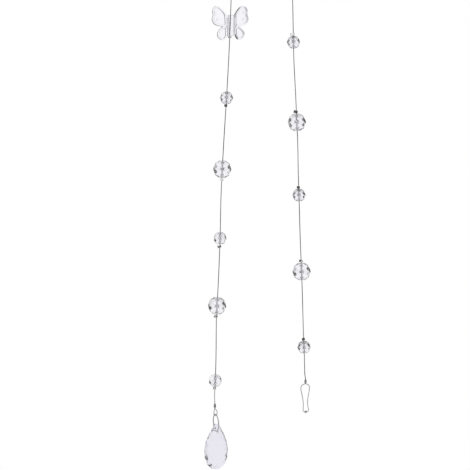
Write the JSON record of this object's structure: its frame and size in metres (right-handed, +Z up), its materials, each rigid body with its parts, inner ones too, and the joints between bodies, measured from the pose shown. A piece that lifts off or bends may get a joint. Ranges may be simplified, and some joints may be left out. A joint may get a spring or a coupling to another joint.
{
  "type": "bead curtain strand",
  "caption": "Clear line folded over its hanging point and threaded with faceted round beads, a butterfly bead and a ringed teardrop prism, each stopped by a crimp.",
  "frame": {"origin": "hanging point, at the middle of the line where it is folded over", "axes": "+Z up, +X to the right as seen from the front, +Y away from the viewer"},
  "size_m": [0.0853, 0.0148, 0.4036],
  "materials": {
    "clear_line": "clear nylon line",
    "bead_glass": "clear cut glass, polished facets",
    "butterfly_plastic": "clear moulded acrylic",
    "prism_glass": "clear cut glass, polished facets",
    "crimp_metal": "dark plated crimp tube",
    "ring_metal": "bright plated wire"
  },
  "bodies": {
    "root": {"line": "clear_line", "butterfly": "butterfly_plastic", "left_bead_1": "bead_glass", "left_bead_2": "bead_glass", "left_bead_3": "bead_glass", "left_bead_4": "bead_glass", "left_bead_5": "bead_glass", "right_bead_1": "bead_glass", "right_bead_2": "bead_glass", "right_bead_3": "bead_glass", "right_bead_4": "bead_glass", "right_bead_5": "bead_glass", "left_crimp_0": "crimp_metal", "left_crimp_1": "crimp_metal", "left_crimp_2": "crimp_metal", "left_crimp_3": "crimp_metal", "left_crimp_4": "crimp_metal", "left_crimp_5": "crimp_metal", "right_crimp_1": "crimp_metal", "right_crimp_2": "crimp_metal", "right_crimp_3": "crimp_metal", "right_crimp_4": "crimp_metal", "right_crimp_5": "crimp_metal", "end_crimp": "crimp_metal", "loop_crimp": "crimp_metal", "loop_tip_crimp": "crimp_metal", "ring": "ring_metal", "drop": "prism_glass"}
  },
  "joints": []
}
